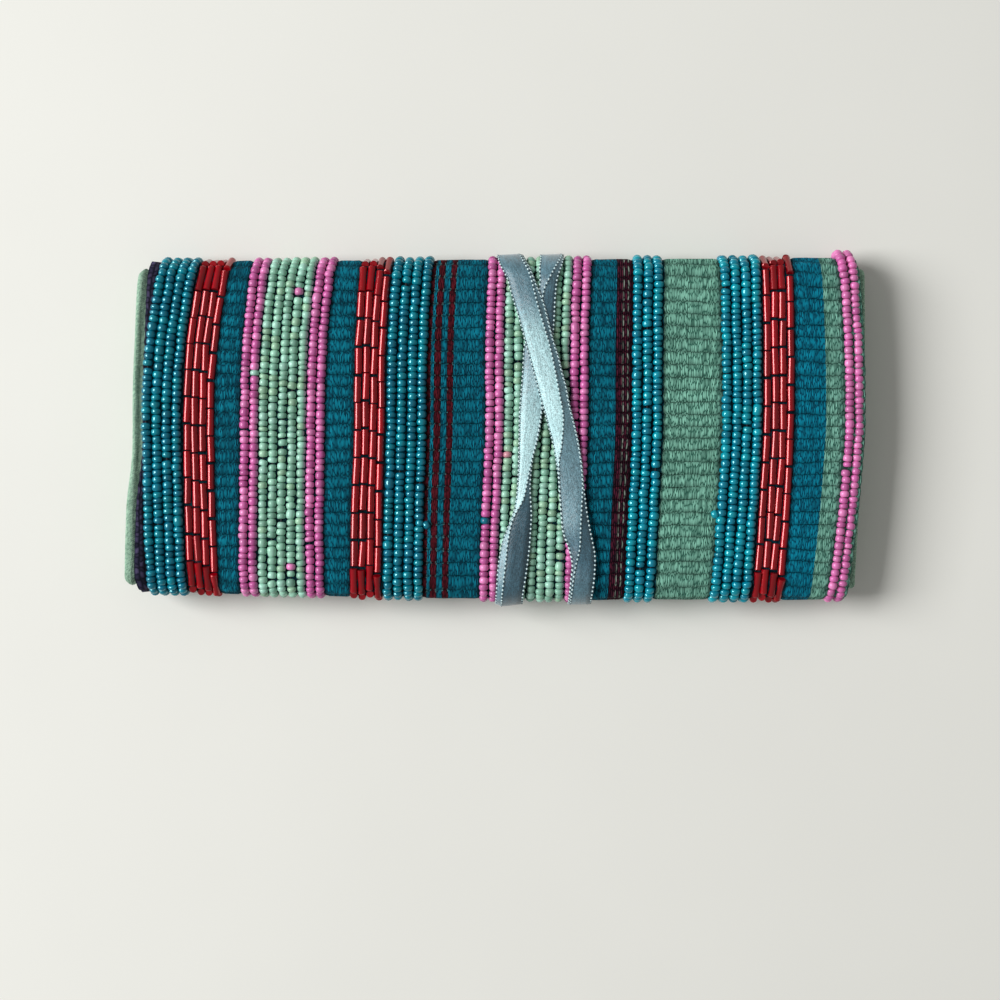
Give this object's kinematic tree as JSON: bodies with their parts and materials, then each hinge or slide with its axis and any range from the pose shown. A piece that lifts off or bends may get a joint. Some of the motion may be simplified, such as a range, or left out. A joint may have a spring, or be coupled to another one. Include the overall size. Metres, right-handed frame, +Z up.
{
  "type": "jewelry roll",
  "caption": "Folded fabric jewelry roll with a padded lining, rows of glass beads sewn across striped cloth, and a satin ribbon tied round it",
  "frame": {"origin": "middle of the roll's plan, on the surface that it lies on", "axes": "+X along the roll, +Y towards the fold that is at the top of the picture, +Z up"},
  "size_m": [0.2094, 0.0998, 0.0178],
  "materials": {
    "cloth": "ribbed handwoven cotton in teal, sage and maroon stripes",
    "lining": "sage green twill over thin padding",
    "ribbon": "slate blue satin with looped edges",
    "teal_beads": "glossy opaque teal seed beads",
    "bugle_beads": "glossy deep red bugle beads",
    "pink_beads": "glossy opaque pink seed beads",
    "mint_beads": "glossy opaque mint green seed beads"
  },
  "bodies": {
    "root": {"band_01_teal_strand_1": "teal_beads", "band_01_teal_strand_2": "teal_beads", "band_01_teal_strand_3": "teal_beads", "band_01_teal_strand_4": "teal_beads", "band_02_bugle_strand_1": "bugle_beads", "band_02_bugle_strand_2": "bugle_beads", "band_02_bugle_strand_3": "bugle_beads", "band_02_bugle_strand_4": "bugle_beads", "band_03_pink_strand_1": "pink_beads", "band_03_pink_strand_2": "pink_beads", "band_04_mint_strand_1": "mint_beads", "band_04_mint_strand_2": "mint_beads", "band_04_mint_strand_3": "mint_beads", "band_04_mint_strand_4": "mint_beads", "band_04_mint_strand_5": "mint_beads", "band_05_pink_strand_1": "pink_beads", "band_05_pink_strand_2": "pink_beads", "band_06_bugle_strand_1": "bugle_beads", "band_06_bugle_strand_2": "bugle_beads", "band_06_bugle_strand_3": "bugle_beads", "band_06_bugle_strand_4": "bugle_beads", "band_07_teal_strand_1": "teal_beads", "band_07_teal_strand_2": "teal_beads", "band_07_teal_strand_3": "teal_beads", "band_07_teal_strand_4": "teal_beads", "band_08_pink_strand_1": "pink_beads", "band_08_pink_strand_2": "pink_beads", "band_09_mint_strand_1": "mint_beads", "band_09_mint_strand_2": "mint_beads", "band_09_mint_strand_3": "mint_beads", "band_09_mint_strand_4": "mint_beads", "band_09_mint_strand_5": "mint_beads", "band_09_mint_strand_6": "mint_beads", "band_09_mint_strand_7": "mint_beads", "band_10_pink_strand_1": "pink_beads", "band_10_pink_strand_2": "pink_beads", "band_11_teal_strand_1": "teal_beads", "band_11_teal_strand_2": "teal_beads", "band_11_teal_strand_3": "teal_beads", "band_12_teal_strand_1": "teal_beads", "band_12_teal_strand_2": "teal_beads", "band_12_teal_strand_3": "teal_beads", "band_12_teal_strand_4": "teal_beads", "band_13_bugle_strand_1": "bugle_beads", "band_13_bugle_strand_2": "bugle_beads", "band_13_bugle_strand_3": "bugle_beads", "band_13_bugle_strand_4": "bugle_beads", "band_14_pink_strand_1": "pink_beads", "band_14_pink_strand_2": "pink_beads", "outer_cloth": "cloth", "padded_lining": "lining", "ribbon_tie": "ribbon"}
  },
  "joints": []
}
